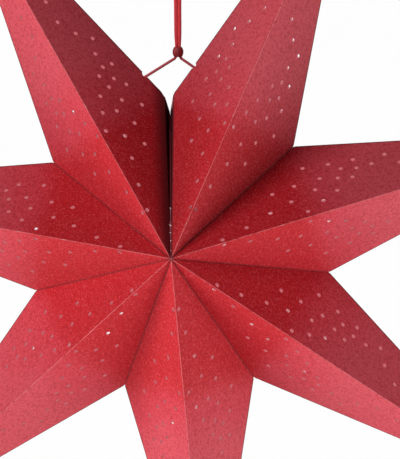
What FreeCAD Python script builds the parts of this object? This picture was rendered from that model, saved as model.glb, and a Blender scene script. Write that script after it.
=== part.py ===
import FreeCAD, Part
import Sketcher
import math
import os

# A seven-pointed folding paper star that hangs from a loop of cord. Millimetres, +Z up, front towards -Y.
# The origin is the inside top of the hanging loop, where the hook carries it.

V = FreeCAD.Vector
POINTS = 7

# Driving sizes, in millimetres and degrees
SIZES = {
    "point_reach": 300.0,         # star centre to the tip of a point
    "notch_reach": 105.5,         # star centre to the notch between two points
    "half_depth": 81.0,           # middle plane to the front or back apex
    "seam_opening": 3.2,          # angle that the open seam takes up at the star's centre
    "star_roll": 3.6,             # turn of the seam from upright, anticlockwise from the front
    "centre_drop": 200.0,         # hook eye down to the star's centre
    "card": 0.4,                  # thickness of the card
    "crease_slack": 0.03,         # edge of a panel to its crease line
    "open_crease_gap": 0.2,       # the same along the back creases, where the panels only meet
    "fold_travel": 16.0,          # how far a ridge folds when the star closes up
    "apex_cut": 3.0,              # flat end of a panel at the front or back apex
    "tip_cut": 4.0,               # flat end of a panel at the tip
    "notch_cut": 0.6,             # flat end of a panel at the notch
    "punch": 3.0,                 # diameter of a punched light hole
    "flap_width": 9.0,            # glue flap, across
    "flap_apex_end": 24.0,        # apex to the near end of a glue flap
    "flap_notch_end": 7.0,        # notch to the far end of a glue flap
    "flap_slant": 6.0,            # how far the slanted ends of a glue flap run back
    "end_flap_depth": 7.0,        # end flap, deepest, near the notch
    "end_flap_start": 30.0,       # apex to the narrow end of an end flap
    "end_flap_slant": 10.0,       # notch to the deepest corner of an end flap
    "end_flap_gap": 0.35,         # end flap to the middle plane of the seam
    "cord_size": 2.0,             # diameter of the cord
    "cord_hole": 5.2,             # hole for the cord in a side crease
    "left_hole_place": 19.6,      # seam corner to the left cord hole, along the crease
    "right_hole_place": 24.2,     # seam corner to the right cord hole, along the crease
    "left_cord_shift": 1.5,       # how far towards the seam the cord lies in the left hole
    "right_cord_shift": 0.5,      # how far towards the seam the cord lies in the right hole
    "hook_room": 3.2,             # width inside the top of the hanging loop
    "loop_length": 20.0,          # hook eye down to the place where the cord swings
    "loop_spread": 1.75,          # half the distance between the strands at that place
    "swing_gap": 0.2,             # cord end to the swing axis
    "bead_rise": 29.0,            # circle of the notches up to the middle of the bead
    "strand_spread": 1.1,         # half the distance between the strands in the bead
    "twist_gap": 0.1,             # cord end to the plane in which the star twists
    "bead_size": 7.2,             # bead, widest diameter
    "bead_height": 6.0,           # bead, end to end
    "bead_bulge": 0.8,            # how much narrower the bead's ends are, each side
    "bead_bore": 5.0,             # hole through the bead
    "bead_lip": 0.25,             # rounding of the bore's edges
    "fork_drop": 3.5,             # middle of the bead down to the corner where the legs part
    "fork_bend": 2.2,             # radius of the leg as it comes out of the bead
    "knot_size": 6.4,             # stop knot, too large for the hole
    "knot_room": 0.9,             # stop knot to the card
}

# Light holes of a panel, as shares of its ridge edge and of its valley edge, both measured from the apex
LIGHT_HOLES = (
    (0.105, 0.042), (0.142, 0.106), (0.170, 0.201), (0.107, 0.439), (0.200, 0.266),
    (0.152, 0.460), (0.292, 0.076), (0.114, 0.666), (0.237, 0.332), (0.305, 0.158),
    (0.211, 0.463), (0.315, 0.237), (0.187, 0.619), (0.272, 0.398), (0.247, 0.511),
    (0.318, 0.355), (0.299, 0.458), (0.256, 0.583), (0.335, 0.456), (0.346, 0.527),
    (0.427, 0.363), (0.514, 0.224), (0.569, 0.220), (0.646, 0.193), (0.748, 0.107),
)

# The triangle of a panel's crease lines is drawn once, in the panel plan, and everything else reads it there
POINT_ANGLE = f"((360 - sizes.seam_opening) / {2 * POINTS} * 1 deg)"
PLAN_LENGTHS = {
    "ridge": "sqrt(sizes.point_reach ^ 2 + sizes.half_depth ^ 2)",
    "valley": "sqrt(sizes.notch_reach ^ 2 + sizes.half_depth ^ 2)",
    "side": "sqrt(sizes.point_reach ^ 2 + sizes.notch_reach ^ 2"
            f" - 2 * sizes.point_reach * sizes.notch_reach * cos({POINT_ANGLE}))",
}
RIDGE = "(panel_plan.Constraints.ridge / 1 mm)"
VALLEY = "(panel_plan.Constraints.valley / 1 mm)"
NOTCH_ALONG = "(panel_plan.Constraints.notch_along / 1 mm)"
NOTCH_ACROSS = "(panel_plan.Constraints.notch_across / 1 mm)"

doc = FreeCAD.newDocument("moravian_star")
sheet = doc.addObject("Spreadsheet::Sheet", "sizes")
for row, (alias, value) in enumerate(SIZES.items(), start=1):
    sheet.set(f"A{row}", alias)
    sheet.set(f"B{row}", str(value))
    sheet.setAlias(f"B{row}", alias)
doc.recompute()


def size(alias):
    """A driving size, read back from the sheet."""
    return float(getattr(sheet, alias))


# The star's corners
centre = V(0, 0, -size("centre_drop"))
apexes = {
    "front": centre + V(0, -size("half_depth"), 0),
    "back": centre + V(0, size("half_depth"), 0),
}
point_angle = (360 - size("seam_opening")) / (2 * POINTS)
seam_angle = 90 + size("star_roll")


def rim_corner(reach, turn):
    """A corner of the star's outline, at an angle anticlockwise from +X seen from the front."""
    angle = math.radians(turn)
    return centre + V(reach * math.cos(angle), 0, reach * math.sin(angle))


# Points count clockwise from the seam, and notch k lies before point k, so the seam has the first and the last
first_turn = seam_angle - size("seam_opening") / 2
tips = [rim_corner(size("point_reach"), first_turn - point_angle * (2 * k + 1)) for k in range(POINTS)]
notches = [rim_corner(size("notch_reach"), first_turn - point_angle * 2 * k) for k in range(POINTS + 1)]


def unit(vector):
    """The same direction, one long."""
    return V(vector).normalize()


def flat_frame(start, along_to, across_to):
    """Placement with X from start to along_to and Y towards across_to, and the sign of Z that points into the star."""
    along = unit(along_to - start)
    reach = across_to - start
    across = unit(reach - along * reach.dot(along))
    up = along.cross(across)
    inward = -1 if up.dot(start - centre) > 0 else 1
    return FreeCAD.Placement(start, FreeCAD.Rotation(along, across, up, "XZY")), inward


def origin_plane(body, role):
    """One of a body's own origin planes."""
    return [part for part in body.Origin.OriginFeatures if part.Role == role][0]


def new_body(label, placement):
    """A body with its own name and place."""
    body = doc.addObject("PartDesign::Body", label)
    body.Label = label
    body.Placement = placement
    return body


def new_sketch(body, name, lift=None, role="XY_Plane"):
    """A sketch on one of the body's planes, lifted off it by an expression where one is given."""
    sketch = body.newObject("Sketcher::SketchObject", f"{body.Label}_{name}")
    sketch.AttachmentSupport = [(origin_plane(body, role), "")]
    sketch.MapMode = "FlatFace"
    if lift:
        sketch.setExpression(".AttachmentOffset.Base.z", lift)
    return sketch


def line(start, end):
    """A sketch line between two (x, y) pairs."""
    return Part.LineSegment(V(*start, 0), V(*end, 0))


def constrain(sketch, rules):
    """Add constraints. A rule is (kind, references) or (kind, references, name, expression)."""
    first = sketch.ConstraintCount
    limits = []
    for rule in rules:
        value = () if len(rule) == 2 else (start_value(rule[3]),)
        limits.append(Sketcher.Constraint(rule[0], *rule[1], *value))
    sketch.addConstraint(limits)
    for number, rule in enumerate(rules, start=first):
        if len(rule) > 2:
            sketch.renameConstraint(number, rule[2])
            sketch.setExpression(f"Constraints.{rule[2]}", rule[3])


def start_value(expression):
    """The value of an expression of the sheet's cells, for the first drawing of a sketch."""
    result = doc.sizes.evalExpression(expression)
    return float(getattr(result, "Value", result))


def add_triangle(sketch, ridge, notch):
    """Construction lines 0 ridge, 1 valley and 2 side, with the apex at the origin and the ridge along X."""
    sketch.addGeometry([line((0, 0), (ridge, 0)), line((0, 0), notch), line(notch, (ridge, 0))], True)
    constrain(sketch, [
        ("Coincident", (0, 1, -1, 1)),
        ("PointOnObject", (0, 2, -1)),
        ("Coincident", (1, 1, 0, 1)),
        ("Coincident", (2, 1, 1, 2)),
        ("Coincident", (2, 2, 0, 2)),
    ])


def draw_plan():
    """The panel plan: the triangle from its three real lengths, and the notch's place measured in it."""
    plan = doc.addObject("Sketcher::SketchObject", "panel_plan")
    ridge, valley, side = (start_value(length) for length in PLAN_LENGTHS.values())
    along = (ridge ** 2 + valley ** 2 - side ** 2) / (2 * ridge)
    across = math.sqrt(valley ** 2 - along ** 2)
    add_triangle(plan, ridge, (along, across))
    constrain(plan, [
        ("Distance", (number,), name, length)
        for number, (name, length) in enumerate(PLAN_LENGTHS.items())
    ])
    for kind, name, value in (("DistanceX", "notch_along", along), ("DistanceY", "notch_across", across)):
        measure = plan.addConstraint(Sketcher.Constraint(kind, -1, 1, 1, 2, value))
        plan.setDriving(measure, False)
        plan.renameConstraint(measure, name)
    doc.recompute()


draw_plan()


def draw_triangle(sketch):
    """The plan's triangle as construction lines of a sketch."""
    ridge, along, across = (start_value(length) for length in (RIDGE, NOTCH_ALONG, NOTCH_ACROSS))
    add_triangle(sketch, ridge, (along, across))
    constrain(sketch, [
        ("Distance", (0,), "ridge", RIDGE),
        ("DistanceX", (-1, 1, 1, 2), "notch_along", NOTCH_ALONG),
        ("DistanceY", (-1, 1, 1, 2), "notch_across", NOTCH_ACROSS),
    ])
    return ridge, along, across


def draw_panel(sketch, ridge_gap, valley_gap, side_gap):
    """Outline of a panel, set back from its creases: ridge, tip, side, notch, valley and apex edges."""
    ridge, notch_along, notch_across = draw_triangle(sketch)
    valley_slope = math.atan2(notch_across, notch_along)
    side_slope = math.atan2(notch_across, ridge - notch_along)
    valley_rise = start_value(valley_gap) / math.cos(valley_slope)
    side_rise = start_value(side_gap) / math.cos(side_slope)
    low = start_value(ridge_gap)
    high = notch_across - size("notch_cut")
    near = size("apex_cut")
    far = ridge - size("tip_cut")
    corners = [
        (near, low),
        (far, low),
        (far, (ridge - far) * math.tan(side_slope) - side_rise),
        (ridge - (high + side_rise) / math.tan(side_slope), high),
        ((high + valley_rise) / math.tan(valley_slope), high),
        (near, near * math.tan(valley_slope) - valley_rise),
    ]
    edges = range(3, 9)
    sketch.addGeometry([line(corners[i], corners[(i + 1) % 6]) for i in range(6)], False)
    constrain(sketch, [("Coincident", (edges[i], 2, edges[(i + 1) % 6], 1)) for i in range(6)] + [
        ("Horizontal", (3,)),
        ("Vertical", (4,)),
        ("Parallel", (5, 2)),
        ("Horizontal", (6,)),
        ("Parallel", (7, 1)),
        ("Vertical", (8,)),
        ("Distance", (3, 1, -1), "ridge_gap", ridge_gap),
        ("Distance", (0, 2, 4), "tip_cut", "sizes.tip_cut"),
        ("Distance", (5, 1, 2), "side_gap", side_gap),
        ("Distance", (1, 2, 6), "notch_cut", "sizes.notch_cut"),
        ("Distance", (7, 1, 1), "valley_gap", valley_gap),
        ("Distance", (-1, 1, 8), "apex_cut", "sizes.apex_cut"),
    ])


def draw_light_holes(sketch):
    """The punched pattern: circles at shares of the ridge and valley edges."""
    ridge, notch_along, notch_across = (start_value(length) for length in (RIDGE, NOTCH_ALONG, NOTCH_ACROSS))
    hole = size("punch") / 2
    places = [(a * ridge + b * notch_along, b * notch_across) for a, b in LIGHT_HOLES]
    sketch.addGeometry([Part.Circle(V(x, y, 0), V(0, 0, 1), hole) for x, y in places], False)
    rules = [("Diameter", (0,), "punch", "sizes.punch")]
    rules += [("Equal", (0, i)) for i in range(1, len(LIGHT_HOLES))]
    for i, (a, b) in enumerate(LIGHT_HOLES):
        rules.append(("DistanceX", (-1, 1, i, 3), f"along_{i}", f"{a} * {RIDGE} + {b} * {NOTCH_ALONG}"))
        rules.append(("DistanceY", (-1, 1, i, 3), f"across_{i}", f"{b} * {NOTCH_ACROSS}"))
    constrain(sketch, rules)


def draw_cord_hole(sketch, place):
    """One circle on the side crease, a place's distance from the notch."""
    ridge, notch_along, notch_across = draw_triangle(sketch)
    share = start_value(place) / math.hypot(ridge - notch_along, notch_across)
    spot = V(notch_along + share * (ridge - notch_along), notch_across * (1 - share), 0)
    sketch.addGeometry([Part.Circle(spot, V(0, 0, 1), size("cord_hole") / 2)], False)
    constrain(sketch, [
        ("PointOnObject", (3, 3, 2)),
        ("Distance", (1, 2, 3, 3), "place", place),
        ("Diameter", (3,), "hole", "sizes.cord_hole"),
    ])


cuts = []


def cut_through(body, sketch, cut_from):
    """Cut a sketch through the whole card of a feature."""
    pocket = body.newObject("PartDesign::Pocket", f"{sketch.Label}_cut")
    pocket.Profile = sketch
    pocket.Type = "ThroughAll"
    pocket.SideType = "Symmetric"
    cuts.append((cut_from, pocket))
    return pocket


# The mitres let the inner faces of two panels pass as their crease folds
front = apexes["front"]


def panel_normal(tip, notch):
    """Outward normal of a front panel."""
    normal = unit((tip - front).cross(notch - front))
    return normal if normal.dot(front - centre) > 0 else normal * -1


left_normal = panel_normal(tips[0], notches[0])
right_normal = panel_normal(tips[0], notches[1])
ridge_half_angle = 90 - math.degrees(math.acos(left_normal.dot(right_normal))) / 2
side_half_angle = math.degrees(math.asin(abs(left_normal.y)))
ridge_mitre = f"sizes.card / tan(({ridge_half_angle} - sizes.fold_travel / 2 - 1) * 1 deg)"
side_mitre = f"sizes.card / tan(({side_half_angle} - 1) * 1 deg)"

# Two front patterns and two back patterns: each pair is mirrored, so its card thickens the other way
patterns = {}
for face, gap in (("front", "sizes.crease_slack"), ("back", "sizes.open_crease_gap")):
    for inward in (-1, 1):
        hand = "down" if inward < 0 else "up"
        pattern = new_body(f"{face}_pattern_{hand}", FreeCAD.Placement())
        outer = new_sketch(pattern, "outer_face")
        draw_panel(outer, gap, gap, "sizes.crease_slack")
        inner = new_sketch(pattern, "inner_face", f"{inward} * sizes.card")
        draw_panel(inner, f"{gap} + {ridge_mitre}", gap, f"sizes.crease_slack + {side_mitre}")
        sheet_of_card = pattern.newObject("PartDesign::AdditiveLoft", f"{pattern.Label}_card")
        sheet_of_card.Profile = outer
        sheet_of_card.Sections = [inner]
        sheet_of_card.Ruled = True
        light_holes = new_sketch(pattern, "light_holes")
        draw_light_holes(light_holes)
        cut_through(pattern, light_holes, sheet_of_card)
        patterns[face, inward] = pattern

# The four panels of each point are cut to those patterns
seam_panels = {(1, "left"): "sizes.right_hole_place", (POINTS, "right"): "sizes.left_hole_place"}
for k in range(POINTS):
    for face, apex in apexes.items():
        for hand in ("left", "right"):
            notch = notches[k] if hand == "left" else notches[k + 1]
            placement, inward = flat_frame(apex, tips[k], notch)
            panel = new_body(f"point_{k + 1}_{face}_{hand}", placement)
            panel.BaseFeature = patterns[face, inward]
            if (k + 1, hand) in seam_panels:
                cord_hole = new_sketch(panel, "cord_hole")
                draw_cord_hole(cord_hole, seam_panels[k + 1, hand])
                cut_through(panel, cord_hole, panel.BaseFeature)


def raise_strip(body, sketch, inward):
    """Give a flap's sketch the thickness of the card, away from its outer side."""
    pad = body.newObject("PartDesign::Pad", f"{body.Label}_card")
    pad.Profile = sketch
    pad.setExpression("Length", "sizes.card")
    pad.Reversed = inward < 0


# The glue flaps lie against the inner faces of the panels after each valley
for k in range(1, POINTS):
    for face, apex in apexes.items():
        placement, inward = flat_frame(apex, notches[k], tips[k])
        flap = new_body(f"glue_flap_{k}_{face}", placement)
        outline = new_sketch(flap, "outline", f"{inward} * sizes.card")
        near = size("flap_apex_end")
        far = start_value(VALLEY) - size("flap_notch_end")
        low = start_value("2 * sizes.card")
        high = low + size("flap_width")
        slant = size("flap_slant")
        corners = [(near, low), (far, low), (far - slant, high), (near + slant, high)]
        outline.addGeometry([line(corners[i], corners[(i + 1) % 4]) for i in range(4)], False)
        constrain(outline, [("Coincident", (i, 2, (i + 1) % 4, 1)) for i in range(4)] + [
            ("Horizontal", (0,)),
            ("Horizontal", (2,)),
            ("DistanceX", (-1, 1, 0, 1), "apex_end", "sizes.flap_apex_end"),
            ("DistanceX", (-1, 1, 0, 2), "notch_end", f"{VALLEY} - sizes.flap_notch_end"),
            ("DistanceX", (2, 1, 0, 2), "notch_slant", "sizes.flap_slant"),
            ("DistanceX", (0, 1, 2, 2), "apex_slant", "sizes.flap_slant"),
            ("DistanceY", (-1, 1, 0, 1), "set_back", "2 * sizes.card"),
            ("DistanceY", (0, 1, 2, 1), "width", "sizes.flap_width"),
        ])
        raise_strip(flap, outline, inward)

# The end flaps lean from the seam's edges towards its middle plane, where they nearly meet
seam_way = rim_corner(1, seam_angle) - centre
seam_side = V(seam_way.z, 0, -seam_way.x)
half_seam = f"sizes.notch_reach * sin(sizes.seam_opening / 2 * 1 deg) / {VALLEY}"
deep_place = f"({VALLEY} - sizes.end_flap_slant)"
deep_room = f"({deep_place} * {half_seam} - sizes.end_flap_gap)"
start_room = f"(sizes.end_flap_start * {half_seam} - sizes.end_flap_gap)"
start_depth = f"sizes.end_flap_depth * {start_room} / {deep_room}"
lean = math.asin(start_value(deep_room) / size("end_flap_depth"))
for number, notch, towards_middle in ((1, notches[0], -1), (POINTS, notches[POINTS], 1)):
    for face, apex in apexes.items():
        edge = unit(notch - apex)
        depth_way = V(0, 1 if face == "front" else -1, 0)
        depth_way = unit(depth_way - edge * depth_way.dot(edge))
        middle_way = seam_side * towards_middle
        middle_way = unit(middle_way - edge * middle_way.dot(edge))
        middle_way = unit(middle_way - depth_way * middle_way.dot(depth_way))
        lean_way = depth_way * math.cos(lean) + middle_way * math.sin(lean)
        up = edge.cross(lean_way)
        inward = -1 if up.dot(middle_way) > 0 else 1
        placement = FreeCAD.Placement(apex, FreeCAD.Rotation(edge, lean_way, up, "XZY"))
        flap = new_body(f"end_flap_{number}_{face}", placement)
        outline = new_sketch(flap, "outline")
        near = size("end_flap_start")
        far = start_value(VALLEY) - start_value("2 * sizes.notch_cut")
        low = start_value("sizes.card / 2 + sizes.crease_slack")
        deep = start_value(deep_place)
        corners = [(near, low), (far, low), (deep, size("end_flap_depth")), (near, start_value(start_depth))]
        outline.addGeometry([line(corners[i], corners[(i + 1) % 4]) for i in range(4)], False)
        constrain(outline, [("Coincident", (i, 2, (i + 1) % 4, 1)) for i in range(4)] + [
            ("Horizontal", (0,)),
            ("Vertical", (3,)),
            ("DistanceX", (-1, 1, 0, 1), "start", "sizes.end_flap_start"),
            ("DistanceX", (-1, 1, 0, 2), "notch_end", f"{VALLEY} - 2 * sizes.notch_cut"),
            ("DistanceX", (-1, 1, 2, 1), "deep_place", deep_place),
            ("DistanceY", (-1, 1, 0, 1), "set_back", "sizes.card / 2 + sizes.crease_slack"),
            ("DistanceY", (-1, 1, 2, 1), "depth", "sizes.end_flap_depth"),
            ("DistanceY", (-1, 1, 3, 1), "start_depth", start_depth),
        ])
        raise_strip(flap, outline, inward)


def cord_solid(label, path, length):
    """A tube of cord along a path, whose volume is checked against its section times its length."""
    start = path.Edges[0].valueAt(path.Edges[0].FirstParameter)
    way = path.Edges[0].tangentAt(path.Edges[0].FirstParameter)
    ring = Part.Wire([Part.makeCircle(size("cord_size") / 2, start, way)])
    tube = path.makePipeShell([ring], True, False)
    if tube.Volume < 0:
        tube.reverse()
    expected = math.pi * size("cord_size") ** 2 / 4 * length
    if abs(tube.Volume - expected) > 0.01 * expected:
        raise ValueError(f"{label} has the wrong volume: {tube.Volume} for {expected}")
    stretch = doc.addObject("Part::Feature", label)
    stretch.Label = label
    stretch.Shape = tube
    stretch.Placement = FreeCAD.Placement()


def bent_path(route, radius):
    """Two straight runs of a route of three points, joined by a tangent arc of the given radius."""
    start, corner, end = route
    way_in = unit(corner - start)
    way_out = unit(end - corner)
    turn = way_in.getAngle(way_out)
    setback = radius * math.tan(turn / 2)
    enter = corner - way_in * setback
    leave = corner + way_out * setback
    bulge = unit(way_in - way_out) * (radius / math.cos(turn / 2) - radius)
    arc = Part.Arc(enter, corner - bulge, leave)
    edges = [Part.LineSegment(start, enter), arc, Part.LineSegment(leave, end)]
    return Part.Wire([edge.toShape() for edge in edges])


# The hanging loop: round the hook and down to the swing axis on both sides
bend = (size("hook_room") + size("cord_size")) / 2
hook_centre = V(0, 0, -size("hook_room") / 2)
foot = V(size("loop_spread"), 0, -size("loop_length") + size("swing_gap"))
reach = foot - hook_centre
lift = math.atan2(-reach.z, reach.x)
opening = math.acos(bend / reach.Length)
touch_turn = opening - lift
touch = hook_centre + V(bend * math.cos(touch_turn), 0, bend * math.sin(touch_turn))


def mirrored(point):
    """The same place on the other side of the middle plane."""
    return V(-point.x, point.y, point.z)


loop_edges = [
    Part.LineSegment(mirrored(foot), mirrored(touch)),
    Part.Arc(mirrored(touch), hook_centre + V(0, 0, bend), touch),
    Part.LineSegment(touch, foot),
]
loop_path = Part.Wire([edge.toShape() for edge in loop_edges])
cord_solid("hanging_loop", loop_path, loop_path.Length)
print("hanging_loop bend radius", bend)

# The two strands, straight from the swing axis down into the bead, which hangs a set way above the notches
bead_place = "(sizes.centre_drop - sizes.notch_reach - sizes.bead_rise)"
bead_drop = start_value(bead_place)
strand_top = V(size("loop_spread"), 0, -size("loop_length") - size("swing_gap"))
strand_foot = V(size("strand_spread"), 0, -bead_drop + size("twist_gap"))
for label, top_end, low_end in (
    ("cord_strand_left", mirrored(strand_top), mirrored(strand_foot)),
    ("cord_strand_right", strand_top, strand_foot),
):
    strand = doc.addObject("Part::Cylinder", label)
    strand.Label = label
    strand.setExpression("Radius", "sizes.cord_size / 2")
    drop = f"({bead_place} - sizes.twist_gap - sizes.loop_length - sizes.swing_gap)"
    strand.setExpression("Height", f"sqrt({drop} ^ 2 + (sizes.loop_spread - sizes.strand_spread) ^ 2)")
    strand.Placement = FreeCAD.Placement(low_end, FreeCAD.Rotation(V(0, 0, 1), top_end - low_end))

# The two legs, out of the bead and through the side creases, each to its stop knot
fork = V(size("strand_spread"), 0, -bead_drop - size("fork_drop"))
for label, knot_label, notch, tip, crossing, leg_start, leg_fork in (
    ("cord_leg_left", "stop_knot_left", notches[POINTS], tips[POINTS - 1],
     size("left_hole_place") - size("left_cord_shift"), -1, mirrored(fork)),
    ("cord_leg_right", "stop_knot_right", notches[0], tips[0],
     size("right_hole_place") - size("right_cord_shift"), 1, fork),
):
    crease = unit(tip - notch)
    passage = notch + crease * crossing
    into_point = centre - passage
    into_point = unit(into_point - crease * into_point.dot(crease))
    way = unit(passage - leg_fork)
    room = size("knot_size") / 2 + size("card") + size("knot_room")
    sunk = room / math.sin(math.radians(side_half_angle)) / way.dot(into_point)
    knot_centre = passage + way * sunk
    end = knot_centre - way * size("knot_size") / 2
    start = V(leg_start * size("strand_spread"), 0, -bead_drop - size("twist_gap"))
    path = bent_path((start, leg_fork, end), size("fork_bend"))
    cord_solid(label, path, path.Length)
    print(label, "bend radius", size("fork_bend"), "route", start, leg_fork, end)
    knot = doc.addObject("Part::Sphere", knot_label)
    knot.Label = knot_label
    knot.setExpression("Radius", "sizes.knot_size / 2")
    knot.Placement = FreeCAD.Placement(knot_centre, FreeCAD.Rotation())

# The bead: a turned barrel with a bore that takes both strands
bead = new_body("cord_bead", FreeCAD.Placement(V(0, 0, -bead_drop), FreeCAD.Rotation()))
profile = new_sketch(bead, "profile", role="XZ_Plane")
bore = size("bead_bore") / 2
half = size("bead_height") / 2
shoulder = size("bead_size") / 2 - size("bead_bulge")
barrel = (half ** 2 + size("bead_bulge") ** 2) / (2 * size("bead_bulge"))
spread = math.asin(half / barrel)
barrel_centre = V(size("bead_size") / 2 - barrel, 0, 0)
profile.addGeometry([
    line((bore, half), (bore, -half)),
    line((bore, -half), (shoulder, -half)),
    Part.ArcOfCircle(Part.Circle(barrel_centre, V(0, 0, 1), barrel), -spread, spread),
    line((shoulder, half), (bore, half)),
], False)
constrain(profile, [
    ("Coincident", (0, 2, 1, 1)),
    ("Coincident", (1, 2, 2, 1)),
    ("Coincident", (2, 2, 3, 1)),
    ("Coincident", (3, 2, 0, 1)),
    ("Vertical", (0,)),
    ("Horizontal", (1,)),
    ("Horizontal", (3,)),
    ("PointOnObject", (2, 3, -1)),
    ("DistanceX", (-1, 1, 0, 1), "bore", "sizes.bead_bore / 2"),
    ("DistanceX", (-1, 1, 1, 2), "shoulder", "sizes.bead_size / 2 - sizes.bead_bulge"),
    ("DistanceY", (0, 2, 0, 1), "height", "sizes.bead_height"),
    ("Radius", (2,), "barrel", "((sizes.bead_height / 2) ^ 2 + sizes.bead_bulge ^ 2) / (2 * sizes.bead_bulge)"),
])
turned = bead.newObject("PartDesign::Revolution", "cord_bead_turned")
turned.Profile = profile
turned.ReferenceAxis = (profile, ["V_Axis"])
turned.Angle = 360
doc.recompute()
bore_edges = [
    f"Edge{number}" for number, edge in enumerate(turned.Shape.Edges, start=1)
    if isinstance(edge.Curve, Part.Circle) and abs(edge.Curve.Radius - bore) < 1e-6
]
lip = bead.newObject("PartDesign::Fillet", "cord_bead_lip")
lip.Base = (turned, bore_edges)
lip.setExpression("Radius", "sizes.bead_lip")

doc.recompute()

# Check every object, then write each sub-part's solid
for part in doc.Objects:
    if "Invalid" in part.State or "Error" in part.State:
        raise ValueError(f"{part.Label} failed: {part.State}")
for before, after in cuts:
    if not after.Shape.Volume < before.Shape.Volume:
        raise ValueError(f"{after.Label} cuts nothing")
sub_parts = [part for part in doc.Objects if part.isDerivedFrom("PartDesign::Body")]
sub_parts = [part for part in sub_parts if part not in patterns.values()]
sub_parts += [part for part in doc.Objects if part.TypeId in ("Part::Feature", "Part::Cylinder", "Part::Sphere")]
os.makedirs("parts", exist_ok=True)
for part in sub_parts:
    if part.Shape.isNull() or not part.Shape.isValid() or len(part.Shape.Solids) != 1:
        raise ValueError(f"{part.Label} is not one valid solid")
for part in sub_parts:
    part.Shape.exportStep(f"parts/{part.Label}.step")
print(len(sub_parts), "sub-parts")
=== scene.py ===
"""The looks of a folding paper star pendant: punched card, glue flaps, braided cord and a bead."""

from __future__ import annotations

import logging
import math
from dataclasses import dataclass
from enum import Enum
from typing import Any, Callable, Sequence

import bmesh
import bpy
from mathutils import Matrix, Vector

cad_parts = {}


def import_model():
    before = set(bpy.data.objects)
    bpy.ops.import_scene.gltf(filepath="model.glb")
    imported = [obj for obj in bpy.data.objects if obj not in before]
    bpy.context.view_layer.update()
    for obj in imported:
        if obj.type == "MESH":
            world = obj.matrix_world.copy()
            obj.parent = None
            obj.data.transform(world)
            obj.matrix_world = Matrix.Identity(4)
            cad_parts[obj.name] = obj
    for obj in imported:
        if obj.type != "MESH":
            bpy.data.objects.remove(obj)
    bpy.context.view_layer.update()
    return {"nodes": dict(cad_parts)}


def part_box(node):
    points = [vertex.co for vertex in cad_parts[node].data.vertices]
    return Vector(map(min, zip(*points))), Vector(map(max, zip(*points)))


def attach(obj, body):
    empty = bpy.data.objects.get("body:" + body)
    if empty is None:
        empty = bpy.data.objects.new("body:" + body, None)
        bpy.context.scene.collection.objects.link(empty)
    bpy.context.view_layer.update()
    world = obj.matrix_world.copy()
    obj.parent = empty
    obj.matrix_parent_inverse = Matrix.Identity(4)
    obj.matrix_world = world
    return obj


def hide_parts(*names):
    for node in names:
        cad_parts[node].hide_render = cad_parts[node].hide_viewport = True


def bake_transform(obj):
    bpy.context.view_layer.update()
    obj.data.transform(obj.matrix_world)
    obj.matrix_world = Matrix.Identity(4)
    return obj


LOG = logging.getLogger("star")
MM = 0.001
# Lengths under the first count as nothing, and normals with more than the second of Z as level.
TOUCH = 1e-6
LEVEL = 0.99
Mesh = bmesh.types.BMesh
Vert = bmesh.types.BMVert
Edge = bmesh.types.BMEdge
Object = bpy.types.Object
Material = bpy.types.Material
Pair = tuple[float, float]
Place = tuple[float, float, float]
Colour = tuple[float, float, float]
Band = tuple[float, float, float]


class Face(Enum):
    """The two faces of the star."""

    FRONT = "front"
    BACK = "back"


class Hand(Enum):
    """The side of a point's ridge that a panel lies on, seen from the front."""

    LEFT = "left"
    RIGHT = "right"


class Slot(Enum):
    """The finishes of a panel: its printed outer side, its bare inner side and its cut edges."""

    OUTER = 0
    INNER = 1
    EDGE = 2


class Bare(Enum):
    """The kinds of bare inner side, with the names of their materials."""

    PANEL = "card_inner"
    SEAM = "card_inner_seam"
    FLAP = "card_inner_flap"


@dataclass(frozen=True)
class Panel:
    """A panel: its point, counted clockwise from the seam, its face and its side of the ridge."""

    k: int
    face: Face
    hand: Hand

    @property
    def node(self) -> str:
        """Name of its node in the frame."""
        return f"point_{self.k + 1}_{self.face.value}_{self.hand.value}"

    @property
    def notch(self) -> int:
        """Number of the notch at its corner."""
        return self.k if self.hand is Hand.LEFT else self.k + 1


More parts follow.
